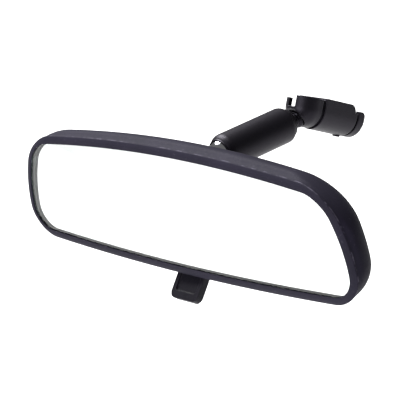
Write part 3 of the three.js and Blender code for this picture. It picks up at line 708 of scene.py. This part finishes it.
def block(name, low, high, bevel_mm=0.0):
    """A box in the head's own millimetres, with its edges rounded."""
    bm = bmesh.new()
    bmesh.ops.create_cube(bm, size=1)
    low, high = Vector(low), Vector(high)
    for vert in bm.verts:
        vert.co = HEAD + Vector([(low[i] + (vert.co[i] + 0.5) * (high[i] - low[i])) * MM for i in range(3)])
    if bevel_mm:
        bmesh.ops.bevel(bm, geom=list(bm.edges), offset=bevel_mm * MM, segments=3, profile=0.5,
                        affect="EDGES")
    return new_piece(name, bm, case_plastic)


STEM_HOLE = 6.6
LEVER_HALF = 10.2  # half the lever's width, which its slot follows
LEVER_SIDE_GAP = 0.8
SLOT_FRONT = 3.4
SLOT_BACK = 19.3
stem_height = (HEAD_BALL.z - HEAD.z) / MM
stem_cutter = new_piece("stem_cutter", turned(
    [(0, 17 * MM), (STEM_HOLE * MM, 17 * MM), (STEM_HOLE * MM, 24.6 * MM), ((STEM_HOLE + 6) * MM, 30.6 * MM),
     (0, 30.6 * MM)], HEAD + Vector((0, 0, stem_height * MM)), (0, 1, 0)), case_plastic)
cut(case, stem_cutter)
slot_half = LEVER_HALF + LEVER_SIDE_GAP
cut(case, block("slot_cutter", (-slot_half, SLOT_FRONT, -38), (slot_half, SLOT_BACK, -24.6), 0.6))
smooth_by_angle(case)
finish_piece(case, "head", "moulded_case", "mirror_case")

# %% [markdown]
# ## The glass
#
# The glass is a wedge, thicker at the top. By day the driver looks at the silvered back. When the
# lever tips the head, that reflection leaves the eye and the faint one from the front face is
# left. The rim takes two more materials: a ground edge at the left end and, elsewhere, a near-black
# one that is painted shade for the shadow gap between the glass and the lip.

# %% Wedge of glass
GLASS_COVER = 1.1
GLASS_TOP = 5.0
GLASS_BOTTOM = 2.5
GLASS_FRONT = GLASS_SETBACK / MM


def glass_back(z):
    return GLASS_FRONT + GLASS_BOTTOM + (GLASS_TOP - GLASS_BOTTOM) * (z + HALF_HEIGHT) / (2 * HALF_HEIGHT)


def make_glass():
    chamfer = 0.35
    rings = [
        outline(GLASS_COVER - chamfer, GLASS_FRONT),
        outline(GLASS_COVER, GLASS_FRONT + chamfer),
        outline(GLASS_COVER, lambda z: glass_back(z) - chamfer),
        outline(GLASS_COVER - chamfer, glass_back),
    ]
    piece = new_piece("glass", skin(rings), clear_glass, smooth=False)
    piece.data.materials.append(glass_edge)
    # The rim's near-black material is painted shade for the shadow gap under the lip.
    piece.data.materials.append(painted_gap_shade)
    for face in piece.data.polygons:
        if abs(face.normal.y) < 0.9:
            face.material_index = 1 if face.normal.x < -0.85 else 2
    return piece


glass = make_glass()
finish_piece(glass, "head", "glass", "prism_glass")

# %% [markdown]
# ## The arm
#
# The tube is drawn steel with both ends rolled in over a ball. Its outside is a straight cylinder
# with rounded shoulders, and its mouth follows the ball with a small gap.

# %% Tube
TUBE_RADIUS = 9.5
TUBE_WALL = 1.2
TUBE_ROLL = 4.6
MOUTH_RADIUS = 7.3
BALL_RADIUS = 8.0
BALL_CLEARANCE = 0.35
ball_gap = (MOUNT_BALL.y - HEAD_BALL.y) / MM


def tube_end():
    """Half of the tube's section, from the middle of the bore to the outside, ball centre at 0."""
    cup = BALL_RADIUS + BALL_CLEARANCE
    reach = math.sqrt(cup ** 2 - MOUTH_RADIUS ** 2)
    start = math.asin((MOUTH_RADIUS - TUBE_RADIUS + TUBE_ROLL) / TUBE_ROLL)
    mouth = math.acos(MOUTH_RADIUS / cup)
    inside = [(min(cup * math.cos(t), TUBE_RADIUS - TUBE_WALL), -cup * math.sin(t))
              for t in np.linspace(0, mouth * 0.96, 10)]
    outside_roll = [(TUBE_RADIUS - TUBE_ROLL * (1 - math.sin(t)), TUBE_ROLL * (1 - math.cos(t)) - reach)
                    for t in np.linspace(start + 0.12, math.pi / 2, 16)]
    lip = [(MOUTH_RADIUS + 0.02, -reach + 0.2), (MOUTH_RADIUS + 0.12, -reach + 0.04),
           (MOUTH_RADIUS + 0.35, -reach + 0.1)]
    return inside + lip + outside_roll


def make_tube():
    front = tube_end()
    rear = [(radius, ball_gap - along) for radius, along in reversed(front)]
    profile = [(radius * MM, along * MM) for radius, along in front + rear]
    return new_piece("tube", turned(profile, HEAD_BALL, (0, 1, 0), 96), tube_coat)


tube = make_tube()
smooth_by_angle(tube, 50)
finish_piece(tube, "arm", "black_paint", "arm_tube")

# %% [markdown]
# Each ball is ground, chromed and left with a small flat where its stem begins. The stem is turned
# with a fillet at its root and, inside the head, a flange that seats on the carrier.

# %% Balls and stems


def make_ball(name, centre, stem_direction):
    flat = math.radians(22)
    arc = [(BALL_RADIUS * math.sin(t), BALL_RADIUS * math.cos(t)) for t in np.linspace(flat, math.pi, 40)]
    profile = [(0, arc[0][1]), (arc[0][0] - 0.3, arc[0][1])] + arc[:-1] + [(0, -BALL_RADIUS)]
    bm = turned([(r * MM, a * MM) for r, a in profile], centre, stem_direction)
    return new_piece(name, bm, chromed_steel)


def make_stem(name, centre, direction, corners, radii, material):
    profile = [(point.x * MM, point.y * MM) for point in rounded(corners, radii)]
    return new_piece(name, turned(profile, centre, direction, 64), material)


STEM = 3.4
head_ball = make_ball("ball_of_head", HEAD_BALL, (0, -1, 0))
finish_piece(head_ball, "head_ball", "ball_chrome", "head_ball")
mount_ball = make_ball("ball_of_mount", MOUNT_BALL, (0, 1, 0))
finish_piece(mount_ball, "mount_ball", "ball_chrome", "mount_ball")

flange_face = (HEAD_BALL.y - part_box("head_stem")[0][1]) / MM
head_stem = make_stem("stem_of_head", HEAD_BALL, (0, -1, 0),
                      [(0, 8.3), (STEM, 8.3), (STEM, flange_face - 5), (STEM + 1.2, flange_face - 2),
                       (7, flange_face - 2), (7, flange_face), (0, flange_face)],
                      [0, 0.4, 4, 0.8, 0.4, 0.4, 0], zinc_plate)
smooth_by_angle(head_stem, 40)
finish_piece(head_stem, "carrier", "steel", "head_stem")
stem_end = (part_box("mount_stem")[1][1] - MOUNT_BALL.y) / MM
mount_stem = make_stem("stem_of_mount", MOUNT_BALL, (0, 1, 0),
                       [(0, 8.3), (STEM, 8.3), (STEM, 9.4), (4.1, 9.6), (4.75, 10.5),
                        (4.75, 11.1), (STEM, 11.1), (STEM, stem_end), (0, stem_end)],
                       [0, 0.3, 0.3, 0.6, 0.3, 0.15, 0, 0.4, 0], mount_coat)
smooth_by_angle(mount_stem, 40)
finish_piece(mount_stem, "mount", "black_paint", "mount_stem")

# %% [markdown]
# ## The windscreen mount
#
# The mount is a small die casting. It is drawn in its own frame: y runs down the windscreen away
# from the ball, z points out through the glass and zero is the seat of the button. Each part is
# built from a few crisp solids that are joined and cut, and is then rebuilt from small cubes and
# smoothed. That rounds every edge by a fraction of a millimetre, as die casting and paint do.

# %% The mount's own frame
MOUNT_HALF_WIDTH = 10.5
MOUNT_DEPTH = 17.2
FACE_TOP = 3.7
HULL_CENTRE = FACE_TOP - MOUNT_DEPTH + MOUNT_HALF_WIDTH
to_row = Matrix.Rotation(-RAKE, 4, "X") @ Matrix.Scale(MM, 4)
ball_in_mount = to_row.inverted() @ MOUNT_BALL


def hull_outline(inset, top, steps=40):
    """Straight sides and a half-round bottom, as points (x, z)."""
    radius = MOUNT_HALF_WIDTH - inset
    arc = [(-radius * math.cos(t), HULL_CENTRE - radius * math.sin(t))
           for t in np.linspace(0, math.pi, steps)]
    return [(-radius, top)] + arc + [(radius, top)]


def mount_prism(name, outline_xz, start, end):
    return prism(name, outline_xz, start, end, to_row, mount_coat)


def mount_box(name, low, high):
    return box(name, low, high, to_row, mount_coat)


def mount_turned(name, profile, centre, axis, around=96):
    return lathe(name, profile, centre, axis, to_row, mount_coat, around)


print("ball in the mount's frame, mm:", [round(v, 1) for v in ball_in_mount])

# %% [markdown]
# The channel takes the button between two lips that lean in. Its outside has a round bottom, a
# groove at each end and a rounded corner where it drops to the end collar.

# %% Channel
CHANNEL_START = -11.8
CHANNEL_END = 12.0
BODY_END = 14.6
END_CORNER = 4.0
STEP_DOWN = -0.4
SOCKET_HALF_WIDTH = 7.2
SOCKET_MOUTH = 5.6
SEAT_HALF_WIDTH = 5.3
RELIEF = 0.5
SCREW_AT = CHANNEL_END - 1
VOXEL = 0.22


def make_channel():
    body = mount_prism("channel", hull_outline(0.12, FACE_TOP - 0.05), CHANNEL_START + 1.5, BODY_END - 0.9)
    front_neck = hull_outline(1.5, FACE_TOP - 1.2)
    cut(body, mount_prism("front_neck", front_neck, CHANNEL_START, CHANNEL_START + 2), "UNION")
    cut(body, mount_prism("rear_neck", hull_outline(1.2, -0.6), BODY_END - 2, BODY_END), "UNION")
    across, down = CHANNEL_END - END_CORNER, FACE_TOP - END_CORNER
    corner = [(across + END_CORNER * math.sin(t), down + END_CORNER * math.cos(t))
              for t in np.linspace(0, math.pi / 2, 20)]
    side = corner + [(CHANNEL_END, STEP_DOWN), (BODY_END + 1, STEP_DOWN), (BODY_END + 1, 9),
                     (CHANNEL_END - END_CORNER, 9)]
    cut(body, side_prism("corner_cutter", side, 14, to_row, mount_coat))
    cut(body, mount_prism("socket_cutter", [
        (-SOCKET_HALF_WIDTH, -RELIEF), (-SEAT_HALF_WIDTH, -RELIEF), (-SEAT_HALF_WIDTH, 0),
        (SEAT_HALF_WIDTH, 0), (SEAT_HALF_WIDTH, -RELIEF), (SOCKET_HALF_WIDTH, -RELIEF),
        (SOCKET_MOUTH, 4.2), (-SOCKET_MOUTH, 4.2),
    ], CHANNEL_START + 3, BODY_END + 1))
    cut(body, mount_turned("screw_cutter", [(0, -15), (2.3, -15), (2.3, -1.3), (0, -1.3)],
                           Vector((0, SCREW_AT, 0)), (0, 0, 1), 48))
    soften(body, VOXEL)
    return body


channel = make_channel()
finish_piece(channel, "mount", "black_paint", "mount_channel")

# %% [markdown]
# The nose is a round-ended cup that opens upwards. A slot towards the driver lets the arm's stud
# swing up, and a ball-shaped hollow keeps the arm's tube clear at every angle.

# %% Nose
NOSE_CENTRE = -15.2
NOSE_TOP = 2.5
NOSE_RADIUS = 10.1
NOSE_INNER = 7.7
NOSE_FLOOR = -3.5
NOSE_END = CHANNEL_START - 0.3
SLOT_HALF = 2.35
SWIVEL = 10.7
STUD_POCKET = 5.6
POCKET_END = 11.5
STEM_BORE = STEM + 0.3
PRONG_TOP = 0.9


def make_nose():
    centre = Vector((0, NOSE_CENTRE, HULL_CENTRE))
    dome = [(NOSE_RADIUS * math.cos(t), NOSE_RADIUS * math.sin(t)) for t in np.linspace(-math.pi / 2, 0, 40)]
    top = NOSE_TOP - HULL_CENTRE
    profile = [(0, dome[0][1])] + dome[1:] + [(NOSE_RADIUS, top), (0, top)]
    nose = mount_turned("nose", profile, centre, (0, 0, 1))
    body_outline = hull_outline(0.43, NOSE_TOP - 0.02)
    cut(nose, mount_prism("nose_body", body_outline, NOSE_CENTRE, NOSE_END - 0.02), "UNION")
    cut(nose, mount_box("trim", (-20, NOSE_END, -30), (20, NOSE_END + 30, 30)))
    cut(nose, mount_box("prong_top", (-14, NOSE_CENTRE - 14, PRONG_TOP), (-0.5, NOSE_CENTRE - 2, 7)))
    cut(nose, mount_turned("well", [(0, NOSE_FLOOR), (NOSE_INNER, NOSE_FLOOR), (NOSE_INNER, 6), (0, 6)],
                           Vector((0, NOSE_CENTRE, 0)), (0, 0, 1)))
    cut(nose, mount_box("well_end", (-NOSE_INNER + 0.02, NOSE_CENTRE, NOSE_FLOOR + 0.02),
                        (NOSE_INNER - 0.02, NOSE_END - 2.4, 6.2)))
    cut(nose, mount_box("slot", (-SLOT_HALF, NOSE_CENTRE - 14, NOSE_FLOOR + 0.04),
                        (SLOT_HALF, NOSE_CENTRE, 6.4)))
    cut(nose, mount_box("window", (-14, NOSE_CENTRE - 6.6, NOSE_FLOOR + 0.06), (-6.7, NOSE_END + 1, 6.6)))
    ball_arc = [(SWIVEL * math.cos(t), SWIVEL * math.sin(t))
                for t in np.linspace(-math.pi / 2, math.pi / 2, 60)]
    swivel = [(0, -SWIVEL)] + ball_arc[1:-1] + [(0, SWIVEL)]
    cut(nose, mount_turned("swivel", swivel, ball_in_mount, (0, 0, 1)))
    stud_axis = to_row.inverted().to_3x3() @ Vector((0, 1, 0))
    stud_hole = [(0, 6), (STUD_POCKET, 6), (STUD_POCKET, POCKET_END), (STEM_BORE, POCKET_END),
                 (STEM_BORE, 16.8), (0, 16.8)]
    cut(nose, mount_turned("stud_hole", stud_hole, ball_in_mount, stud_axis, 48))
    soften(nose, VOXEL)
    return nose


nose = make_nose()
finish_piece(nose, "mount", "black_paint", "mount_nose")

# %% [markdown]
# A half-round collar closes the far end, with an ear on each side of the channel, and a small
# clamp screw comes up from below to lock the mount on its button.

# %% End collar and clamp screw
FLANGE_START = BODY_END + 0.3
FLANGE_END = FLANGE_START + 4.8


def make_flange():
    flange = mount_prism("end_collar", hull_outline(0.25, 0.85), FLANGE_START + 0.05, FLANGE_END - 0.05)
    cut(flange, mount_box("ear_gap", (-SOCKET_HALF_WIDTH, FLANGE_START - 1, -0.9),
                          (SOCKET_HALF_WIDTH, FLANGE_END + 1, 5)))
    round_off = rounded([(FLANGE_START + 1.6, 0.9), (FLANGE_END, 0.9), (FLANGE_END, -4)], [0, 2.6, 0], 10)
    side = [tuple(point) for point in round_off]
    side += [(FLANGE_END + 2, -4), (FLANGE_END + 2, 3), (FLANGE_START + 1.6, 3)]
    cut(flange, side_prism("ear_rounding", side, 14, to_row, mount_coat))
    soften(flange, VOXEL, 14)
    return flange


flange = make_flange()
finish_piece(flange, "mount", "black_paint", "mount_end_flange")


def make_screw():
    bottom = HULL_CENTRE - MOUNT_HALF_WIDTH - 0.6
    profile = [(0, bottom + 1.4), (1.0, bottom + 1.4), (1.0, bottom), (1.75, bottom), (2.0, bottom + 0.25),
               (2.0, -1.85), (1.75, -1.6), (0, -1.6)]
    return mount_turned("clamp_screw_fine", profile, Vector((0, SCREW_AT, 0)), (0, 0, 1), 48)


screw = make_screw()
smooth_by_angle(screw)
finish_piece(screw, "mount", "black_paint", "clamp_screw")

# %% [markdown]
# ## The day/night lever
#
# Below the case hangs a tab with a shallow thumb panel. It is one moulding with a neck through the
# case, a hub on its pin and a crank that works the fork inside.

# %% Lever
LEVER_LEAN = math.radians(26)
LEVER_SWING = math.radians(42)
LEVER_NECK = 12.5
TAB_BEND = math.radians(14)
TAB_LENGTH = 17.2
TAB_THICK = 4.2
TAB_CORNER = 3.6
HUB_RADIUS = 2.6
joint_places = {joint["name"]: Vector(joint["pos_m"]) for joint in frame["record"]["behaviour"]["joints"]}
hub = Matrix.Translation(joint_places["lever_flip"])
to_mm = Matrix.Scale(MM, 4)
neck_place = hub @ Matrix.Rotation(-LEVER_LEAN, 4, "X") @ to_mm
tab_place = neck_place @ Matrix.Translation((0, 0, -LEVER_NECK)) @ Matrix.Rotation(-TAB_BEND, 4, "X")
crank_place = hub @ Matrix.Rotation(-LEVER_SWING / 2, 4, "X") @ to_mm


def rounded_tab(half, top, bottom, corner):
    corners = [(-half, top), (-half, bottom), (half, bottom), (half, top)]
    return [tuple(point) for point in rounded(corners, [0, corner, corner, 0], 10)]


def make_lever():
    lever = prism("lever", rounded_tab(LEVER_HALF - 0.05, 0, -TAB_LENGTH + 0.05, TAB_CORNER),
                  -TAB_THICK / 2 + 0.05, TAB_THICK / 2 - 0.05, tab_place, lever_plastic)
    panel = rounded_tab(LEVER_HALF - 2.7, 4, -TAB_LENGTH + 4.2, 1.6)
    cut(lever, prism("panel", panel, -TAB_THICK, -TAB_THICK / 2 + 1.1, tab_place, lever_plastic))
    soften(lever, 0.24, 5)
    neck = box("neck", (-LEVER_HALF, -1.5, -LEVER_NECK - 1.5), (LEVER_HALF, 1.5, -0.4), neck_place,
               lever_plastic)
    hub_profile = [(0, -LEVER_HALF), (HUB_RADIUS, -LEVER_HALF), (HUB_RADIUS, LEVER_HALF), (0, LEVER_HALF)]
    cut(neck, lathe("hub", hub_profile, Vector(), (1, 0, 0), neck_place, lever_plastic, 48), "UNION")
    cut(neck, box("crank", (-4, -1.2, 0.2), (4, 1.2, 4), crank_place, lever_plastic), "UNION")
    cut(neck, lathe("crank_tip", [(0, -3.98), (1.6, -3.98), (1.6, 3.98), (0, 3.98)], Vector((0, 0, 4)),
                    (1, 0, 0), crank_place, lever_plastic, 40), "UNION")
    cut(neck, lathe("bore", [(0, -12), (1.7, -12), (1.7, 12), (0, 12)], Vector(), (1, 0, 0), neck_place,
                    lever_plastic, 40))
    cut(lever, neck, "UNION")
    smooth_by_angle(lever, 40)
    return lever


lever = make_lever()
finish_piece(lever, "lever", "lever_plastic", "day_night_lever")

# %% [markdown]
# ## The spring
#
# A spring follows a path, so Geometry Nodes suits it: a spiral curve gives the path, a circle gives
# the wire, and the tree's named inputs give the size. It is made at its place in the tube, which
# the CAD model's box for it gives, and then kept as a plain mesh.

# %% Spring
SPRING_WIRE = 1.46 * MM
SPRING_TURNS = 4.0


def spring_tree():
    tree = bpy.data.node_groups.new("coil spring", "GeometryNodeTree")
    tree.interface.new_socket("Geometry", in_out="OUTPUT", socket_type="NodeSocketGeometry")
    for name in ("Turns", "Coil radius", "Wire radius", "Length"):
        tree.interface.new_socket(name, in_out="INPUT", socket_type="NodeSocketFloat")
    tree.interface.new_socket("Start", in_out="INPUT", socket_type="NodeSocketVector")
    given = add_node(tree, "NodeGroupInput").outputs
    path = add_node(tree, "GeometryNodeCurveSpiral", Resolution=48, Rotations=given["Turns"],
                    Start_Radius=given["Coil radius"], End_Radius=given["Coil radius"],
                    Height=given["Length"])
    wire = add_node(tree, "GeometryNodeCurvePrimitiveCircle", {"mode": "RADIUS"}, Resolution=20,
                    Radius=given["Wire radius"])
    tube = add_node(tree, "GeometryNodeCurveToMesh", Curve=path.outputs["Curve"],
                    Profile_Curve=wire.outputs["Curve"], Fill_Caps=True)
    along_y = add_node(tree, "GeometryNodeTransform", Geometry=tube.outputs["Mesh"],
                       Translation=given["Start"], Rotation=(-math.pi / 2, 0, 0))
    real = add_node(tree, "GeometryNodeRealizeInstances", Geometry=along_y.outputs["Geometry"])
    painted = add_node(tree, "GeometryNodeSetMaterial", Geometry=real.outputs["Geometry"],
                       Material=spring_wire)
    add_node(tree, "NodeGroupOutput", Geometry=painted.outputs["Geometry"])
    return tree


def grown(name, tree, values):
    """The mesh a tree makes, as a plain object; `values` are the tree's inputs by name."""
    holder = bpy.data.objects.new(name + "_nodes", bpy.data.meshes.new(name + "_nodes"))
    bpy.context.scene.collection.objects.link(holder)
    modifier = holder.modifiers.new("nodes", "NODES")
    modifier.node_group = tree
    for item in tree.interface.items_tree:
        if item.in_out == "INPUT" and item.name in values:
            modifier[item.identifier] = values[item.name]
    bpy.context.view_layer.update()
    shape = holder.evaluated_get(bpy.context.evaluated_depsgraph_get())
    data = bpy.data.meshes.new_from_object(shape)
    bpy.data.objects.remove(holder)
    piece = bpy.data.objects.new(name, data)
    bpy.context.scene.collection.objects.link(piece)
    return piece


spring_low, spring_high = (Vector(corner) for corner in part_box("arm_spring"))
spring = grown("spring", spring_tree(), {
    "Turns": SPRING_TURNS,
    "Coil radius": (spring_high.x - spring_low.x - SPRING_WIRE) / 2,
    "Wire radius": SPRING_WIRE / 2,
    "Length": spring_high.y - spring_low.y - SPRING_WIRE - 0.1 * MM,
    "Start": (MOUNT_BALL.x, spring_low.y + SPRING_WIRE / 2 + 0.05 * MM, MOUNT_BALL.z),
})
smooth_by_angle(spring, 60)
finish_piece(spring, "arm", "spring_steel", "arm_spring")

# %% [markdown]
# ## The pieces that stay as they are
#
# The CAD model's pins, washers, seats, pad and carrier already have their real shape. They only get
# a material: the metal pressings and pins are zinc-plated, the ball seats are nylon.

# %% Materials of the carried-over pieces
CARRIED_OVER = {
    "mirror_coating": silver,
    "backing_pad": foam,
    "toggle_carrier": zinc_plate,
    "pivot_pin_left": zinc_plate,
    "pivot_pin_right": zinc_plate,
    "lever_pin": zinc_plate,
    "front_washer": zinc_plate,
    "rear_washer": zinc_plate,
    "front_ball_seat": nylon,
    "rear_ball_seat": nylon,
}
for node, material in CARRIED_OVER.items():
    for material_slot in bpy.data.objects[node].material_slots:
        material_slot.material = material
print("gave", len(CARRIED_OVER), "carried-over pieces a material")
